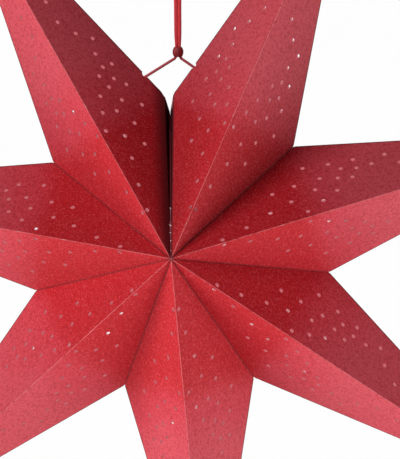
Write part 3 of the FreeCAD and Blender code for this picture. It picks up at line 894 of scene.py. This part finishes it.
@dataclass
class Cord:
    """The hanging cord in its moving stretches, with the bead and the two stop knots."""

    finish: CordFinish = CordFinish()
    # Painted shade: a darker copy of the cord's finish for the legs and knots, which lie in more shade.
    shaded_finish: CordFinish = CordFinish(thread=(0.57, 0.070, 0.095), crown=(0.74, 0.125, 0.160))
    size: float = 2.0 * MM
    sides: int = 20
    step: float = 0.28 * MM
    curve_steps: int = 40
    braid_height: float = 0.05
    braid_pitch: float = 3.2 * MM
    braid_plies: int = 4
    swing_drop: float = 20.0 * MM
    swing_blend: float = 4.0 * MM
    leg_blend: Pair = (0.08, 0.84)
    bead_half: float = 3.45 * MM
    bead_widest: float = 3.8 * MM
    bead_lift: float = 0.25 * MM
    bead_bore: float = 2.60 * MM
    bead_shoulder: float = 2.66 * MM
    bead_lip: float = 0.08 * MM
    bead_arc: int = 14
    bead_sides: int = 48
    knot_size: float = 6.4 * MM
    knot_steps: int = 24
    knot_depth: float = 1.2
    knot_thin: float = 0.9
    squeeze: float = 1.07
    part_low: float = -26.0 * MM
    part_high: float = -10.0 * MM
    loop_route: tuple[Pair, ...] = (
        (-1.02, -65.4), (-0.98, -61.5), (-1.24, -54.0), (-1.26, -43.0), (-1.25, -30.0),
        (-1.6, -20.0), (-2.5, -7.0), (-2.6, 1.0), (2.6, 1.0), (2.5, -7.0), (1.6, -20.0),
        (1.25, -30.0), (1.26, -43.0), (1.24, -54.0), (0.98, -61.5), (1.02, -65.4),
    )
    left_route: tuple[Pair, ...] = ((-1.1, -65.6), (-1.1, -69.0), (-4.68, -71.19), (-25.489, -83.9))
    right_route: tuple[Pair, ...] = ((1.1, -65.6), (1.1, -69.0), (4.54, -71.4), (13.52, -77.675))

    def build(self) -> None:
        material = self.finish.material("cord_thread")
        shaded = self.shaded_finish.material("cord_thread_shaded")
        radius = self.size / 2
        path = self._line(self.loop_route)
        loop = new_piece("cord_loop", self._braid(path, radius, self._flatness), [material])
        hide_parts("hanging_loop", "cord_strand_left", "cord_strand_right")
        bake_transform(loop)
        routes = (self.left_route, self.right_route)
        left_braid, right_braid = (self._braid(self._line(route), radius) for route in routes)
        left = new_piece("cord_leg_left_braid", left_braid, [shaded])
        right = new_piece("cord_leg_right_braid", right_braid, [shaded])
        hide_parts("cord_leg_left")
        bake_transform(left)
        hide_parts("cord_leg_right")
        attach(right, "cord_legs")
        knots = [
            self._knot("stop_knot_left", self.left_route, "left_knot", shaded),
            self._knot("stop_knot_right", self.right_route, "cord_legs", shaded),
        ]
        bead = self._bead()
        length = sum((b - a).length for a, b in zip(path, path[1:]))
        LOG.info("cord: loop %.1f mm", length / MM)

    def _flatness(self, spot: Vector) -> float:
        """How flat the soft strands lie against each other below the loop.

        Args:
            spot: A place on the cord's line.

        Returns:
            The cord's width there as a share of its round size.
        """
        share = min(1.0, max(0.0, (spot.z - self.part_low) / (self.part_high - self.part_low)))
        parted = share * share * (3.0 - 2.0 * share)
        touching = self.squeeze * 2 * abs(spot.x) / self.size
        return touching + (1.0 - touching) * parted

    def _line(self, route: Sequence[Sequence[float]]) -> list[Vector]:
        """Points along the smooth line of a route of control points.

        Args:
            route: (x, z) or (x, y, z) in millimetres.

        Returns:
            Evenly spaced points in metres.
        """
        curve = bpy.data.curves.new("route", "CURVE")
        curve.dimensions = "3D"
        curve.resolution_u = self.curve_steps
        spline = curve.splines.new("NURBS")
        spline.points.add(len(route) - 1)
        for point, place in zip(spline.points, route):
            x, y, z = place if len(place) == 3 else (place[0], 0.0, place[1])
            point.co = (x * MM, y * MM, z * MM, 1.0)
        spline.order_u = 3
        spline.use_endpoint_u = True
        holder = bpy.data.objects.new("route", curve)
        mesh = bpy.data.meshes.new_from_object(holder)
        line = [vert.co.copy() for vert in mesh.vertices]
        bpy.data.objects.remove(holder)
        bpy.data.meshes.remove(mesh)
        bpy.data.curves.remove(curve)
        return self._even(line)

    def _even(self, line: list[Vector]) -> list[Vector]:
        """Space the points of a line evenly.

        Args:
            line: Points along it.

        Returns:
            Points along the same line, about a step apart.
        """
        reach = [0.0]
        for a, b in zip(line, line[1:]):
            reach.append(reach[-1] + (b - a).length)
        count = max(2, round(reach[-1] / self.step))
        points = []
        i = 0
        for number in range(count + 1):
            goal = reach[-1] * number / count
            while i < len(reach) - 2 and reach[i + 1] < goal:
                i += 1
            span = reach[i + 1] - reach[i]
            share = (goal - reach[i]) / span if span > 0 else 0.0
            points.append(line[i].lerp(line[i + 1], share))
        return points

    def _braid(
        self, path: list[Vector], radius: float, flatness: Callable[[Vector], float] | None = None,
    ) -> Mesh:
        """Extrude a ring along a path, swelling where two sets of crossing plies come to the surface.

        Args:
            path: Evenly spaced points.
            radius: The cord's radius over its plies.
            flatness: Width at a place as a share of the round cord's, or None for a round cord.

        Returns:
            A closed tube with a UV map: along in metres, and around as a share of a turn.
        """
        mesh = bmesh.new()
        uv = mesh.loops.layers.uv.new("braid")
        along_layer = mesh.verts.layers.float.new("along")
        around_layer = mesh.verts.layers.float.new("around")
        ring = bmesh.ops.create_circle(mesh, segments=self.sides, radius=radius)["verts"]
        edges = list({edge for vert in ring for edge in vert.link_edges})
        turn = Vector((0.0, 1.0, 0.0))
        run = 0.0
        for number, spot in enumerate(path):
            before = path[max(0, number - 1)]
            after = path[min(len(path) - 1, number + 1)]
            way = (after - before).normalized()
            turn = (turn - way * turn.dot(way)).normalized()
            side = way.cross(turn)
            wide = flatness(spot) if flatness else 1.0
            if number:
                made = bmesh.ops.extrude_edge_only(mesh, edges=edges)["geom"]
                edges = [item for item in made if isinstance(item, Edge)]
                ring = drawn_from(ring, made)
                run += (spot - path[number - 1]).length
            wave = 2 * math.pi * run / self.braid_pitch
            for i, vert in enumerate(ring):
                around = 2 * math.pi * i / self.sides
                plies = self.braid_plies * around
                swell = math.cos(plies + wave) * math.cos(plies - wave)
                reach = radius * (1.0 - self.braid_height + self.braid_height * swell)
                out = turn * math.cos(around) / wide + side * math.sin(around) * wide
                vert.co = spot + out * reach
                vert[along_layer] = run
                vert[around_layer] = i / self.sides
        bmesh.ops.holes_fill(mesh, edges=[edge for edge in mesh.edges if edge.is_boundary], sides=0)
        bmesh.ops.recalc_face_normals(mesh, faces=mesh.faces[:])
        for flat in mesh.faces:
            flat.smooth = True
            turns = [loop.vert[around_layer] for loop in flat.loops]
            wraps = max(turns) - min(turns) > 0.5 and len(turns) == 4
            for loop, share in zip(flat.loops, turns):
                turned = share + 1.0 if wraps and share < 0.5 else share
                loop[uv].uv = (loop.vert[along_layer], turned)
        return mesh

    def _knot(self, name: str, route: Sequence[Pair], body: str, material: Material) -> Object:
        """An overhand knot beyond the inner end of a leg.

        Args:
            name: The knot's node, which the piece stands for.
            route: The leg's route, which points into the knot.
            body: The body that the knot rides on.
            material: The cord's material.

        Returns:
            The piece.
        """
        low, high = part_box(name)
        middle = (low + high) / 2
        (x_before, z_before), (x_end, z_end) = route[-2:]
        way = Vector((x_end - x_before, 0.0, z_end - z_before)).normalized()
        turn = way.to_track_quat("Z", "Y").to_matrix()
        reach = (self.knot_size / 2 - self.size / 2) / 3.0
        spots = []
        for i in range(self.knot_steps + 3):
            angle = 2 * math.pi * i / self.knot_steps
            local = Vector((
                reach * (math.sin(angle) + 2 * math.sin(2 * angle)),
                reach * (math.cos(angle) - 2 * math.cos(2 * angle)),
                -reach * self.knot_depth * math.sin(3 * angle),
            ))
            spots.append(tuple((middle + turn @ local) / MM))
        braid = self._braid(self._line(spots), self.size / 2 * self.knot_thin)
        piece = new_piece(f"{name}_braid", braid, [material])
        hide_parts(name)
        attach(piece, body)
        return piece

    def _bead(self) -> Object:
        """The bead, turned from its profile.

        Returns:
            The piece.
        """
        low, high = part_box("cord_bead")
        middle = (low + high) / 2 + Vector((0.0, 0.0, self.bead_lift))
        half, widest, bore, lip = self.bead_half, self.bead_widest, self.bead_bore, self.bead_lip
        mesh = bmesh.new()
        bulge = widest - self.bead_shoulder
        radius = (half ** 2 + bulge ** 2) / (2 * bulge)
        spread = math.asin(half / radius)
        profile = [mesh.verts.new((bore, 0.0, -half + lip))]
        for i in range(self.bead_arc + 1):
            angle = -spread + 2 * spread * i / self.bead_arc
            out = widest - radius + radius * math.cos(angle)
            profile.append(mesh.verts.new((out, 0.0, radius * math.sin(angle))))
        profile.append(mesh.verts.new((bore, 0.0, half - lip)))
        edges = [mesh.edges.new(pair) for pair in zip(profile, profile[1:] + profile[:1])]
        bmesh.ops.spin(
            mesh, geom=profile + edges, cent=(0.0, 0.0, 0.0), axis=(0.0, 0.0, 1.0),
            dvec=(0.0, 0.0, 0.0), angle=2 * math.pi, steps=self.bead_sides, use_merge=True,
            use_duplicate=False,
        )
        bmesh.ops.remove_doubles(mesh, verts=mesh.verts[:], dist=TOUCH)
        bmesh.ops.recalc_face_normals(mesh, faces=mesh.faces[:])
        bmesh.ops.translate(mesh, verts=mesh.verts[:], vec=middle)
        for flat in mesh.faces:
            flat.smooth = True
        piece = new_piece("bead_turned", mesh, [BeadFinish().material()])
        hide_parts("cord_bead")
        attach(piece, "bead")
        return piece


@dataclass
class Flaps:
    """The glue flaps and the end flaps, which keep their own solids."""

    finish: CardFinish

    def build(self, nodes: dict[str, Object]) -> None:
        """Give every flap the card's finish that shows.

        Args:
            nodes: The frame's objects by name.
        """
        finishes = {
            "glue_flap": self.finish.inside(Bare.FLAP),
            # The end flaps take the painted shadow colour, and end_flap_1 also a painted highlight at
            # its upper end.
            "end_flap_1": self.finish.flap(True),
            "end_flap_7": self.finish.flap(False),
        }
        for name, node in nodes.items():
            for start, material in finishes.items():
                if name.startswith(start):
                    node.data.materials.clear()
                    node.data.materials.append(material)
                    LOG.info("%s: dressed", name)


@dataclass(frozen=True)
class Lamp:
    """A square soft lamp that faces the star: its middle, its power in watts and its side."""

    name: str
    place: Place
    power: float
    side: float = 1.0


@dataclass
class Studio:
    """Pale floor and backdrop, soft lamps and the camera.

    The key lamp stands at the upper left, and the others graze the star from the sides and below.
    """

    plan: StarPlan
    floor_drop: float = 1.9
    floor_front: float = -5.0
    wall_back: float = 1.6
    wall_top: float = 5.0
    width: float = 12.0
    sweep: float = 0.5
    sweep_steps: int = 12
    paper: Colour = (0.86, 0.86, 0.86)
    white: Colour = (1.0, 1.0, 1.0)
    whiteness: float = 0.96
    air_colour: Colour = (1.0, 0.98, 0.97)
    air: float = 0.06
    camera_reach: float = 1.8
    camera_turn: float = 3.68
    camera_rise: float = 5.56
    camera_roll: float = -0.42
    target: Pair = (14.3 * MM, 11.6 * MM)
    lens: float = 233.3
    sensor: float = 36.0
    sight: float = 100.0
    lamps: tuple[Lamp, ...] = (
        Lamp("key_top_left", (-1.4, -1.4, 1.0), 29.2),
        Lamp("side_left", (-2.1, -0.5, -0.3), 13.5),
        Lamp("low_left", (-1.3, -0.35, -1.6), 20.0),
        Lamp("low", (0.5, -0.35, -1.9), 8.5),
        Lamp("low_right", (1.6, -0.35, -1.5), 12.0),
        Lamp("low_right_front", (1.3, -1.2, -1.3), 7.5),
        Lamp("right", (2.2, -0.25, -0.5), 8.0),
        Lamp("side_right", (2.1, -0.6, -0.2), 4.0),
        Lamp("back_left", (-1.5, 2.0, 0.6), 22.0, 1.2),
        Lamp("back_right", (1.7, 1.8, -0.8), 18.0, 1.2),
    )

    def build(self) -> None:
        """Set up everything round the star."""
        self._backdrop()
        self._air()
        for lamp in self.lamps:
            self._light(lamp)
        self._camera()
        bpy.context.scene.view_settings.view_transform = "Standard"

    def _backdrop(self) -> None:
        """A floor that sweeps up into a wall, in one sheet that the camera sees through from behind."""
        mesh = bmesh.new()
        floor, bend = -self.floor_drop, self.wall_back - self.sweep
        profile = [(self.floor_front, floor), (bend, floor)]
        for i in range(1, self.sweep_steps + 1):
            angle = math.pi / 2 * i / self.sweep_steps
            rise = self.sweep * (1 - math.cos(angle))
            profile.append((bend + self.sweep * math.sin(angle), floor + rise))
        profile.append((self.wall_back, self.wall_top))
        verts = [mesh.verts.new((-self.width / 2, y, z)) for y, z in profile]
        edges = [mesh.edges.new(pair) for pair in zip(verts, verts[1:])]
        made = bmesh.ops.extrude_edge_only(mesh, edges=edges)["geom"]
        moved = [item for item in made if isinstance(item, Vert)]
        bmesh.ops.translate(mesh, verts=moved, vec=(self.width, 0.0, 0.0))
        for flat in mesh.faces:
            flat.smooth = True
        shader = Shader("studio_paper")
        seen = shader.node("ShaderNodeLightPath", {}, {}, "Is Camera Ray")
        lit = shader.node("ShaderNodeEmission", {}, {"Color": self.white, "Strength": 1.0})
        shader.dress(Base_Color=self.paper, Roughness=0.9)
        plain = Value(shader, shader.principled.outputs[0])
        amount = seen * self.whiteness
        mixed = shader.node("ShaderNodeMixShader", {}, {0: amount, 1: plain, 2: lit})
        behind = shader.node("ShaderNodeNewGeometry", {}, {}, "Backfacing")
        clear = shader.node("ShaderNodeBsdfTransparent", {}, {})
        surface = shader.node("ShaderNodeMixShader", {}, {0: behind * seen, 1: mixed, 2: clear})
        shader.feed(shader.output.inputs["Surface"], surface)
        backdrop = new_piece("backdrop", mesh, [shader.material])

    def _air(self) -> None:
        """A weak world light, which looks white to the camera."""
        world = bpy.data.worlds.new("studio_air")
        sky = Nodes(world)
        background = sky.tree.nodes["Background"]
        seen = sky.node("ShaderNodeLightPath", {}, {}, "Is Camera Ray")
        sky.feed(background.inputs["Color"], self.air_colour)
        sky.feed(background.inputs["Strength"], seen * (1.0 - self.air) + self.air)
        bpy.context.scene.world = world

    def _light(self, lamp: Lamp) -> None:
        """Set up a lamp.

        Args:
            lamp: The lamp.
        """
        data = bpy.data.lights.new(lamp.name, "AREA")
        data.size = lamp.side
        data.energy = lamp.power
        holder = bpy.data.objects.new(lamp.name, data)
        holder.location = lamp.place
        way = self.plan.centre - Vector(lamp.place)
        holder.rotation_euler = way.to_track_quat("-Z", "Y").to_euler()
        bpy.context.scene.collection.objects.link(holder)

    def _camera(self) -> None:
        """A long lens slightly above and to the right of the star's middle."""
        angles = (self.camera_turn, self.camera_rise, self.camera_roll)
        turn, rise, roll = (math.radians(angle) for angle in angles)
        level = math.cos(rise)
        back = Vector((math.sin(turn) * level, -math.cos(turn) * level, math.sin(rise)))
        right = Vector((0.0, 0.0, 1.0)).cross(back).normalized()
        up = back.cross(right)
        right, up = (
            right * math.cos(roll) + up * math.sin(roll),
            up * math.cos(roll) - right * math.sin(roll),
        )
        target = self.plan.centre + Vector((self.target[0], 0.0, self.target[1]))
        data = bpy.data.cameras.new("camera")
        data.lens = self.lens
        data.sensor_fit = "HORIZONTAL"
        data.sensor_width = self.sensor
        data.clip_end = self.sight
        camera = bpy.data.objects.new("camera", data)
        place = Matrix((right, up, back)).transposed().to_4x4()
        place.translation = target + back * self.camera_reach
        camera.matrix_world = place
        bpy.context.scene.collection.objects.link(camera)
        bpy.context.scene.camera = camera


def main() -> None:
    """Load the frame, dress the star and set the studio."""
    logging.basicConfig(level=logging.INFO, format="%(message)s")
    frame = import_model()
    finish = CardFinish()
    Studio(PLAN).build()
    Cord().build()
    CardPoints(PLAN, finish).build()
    Flaps(finish).build(frame["nodes"])


if __name__ == "__main__":
    main()
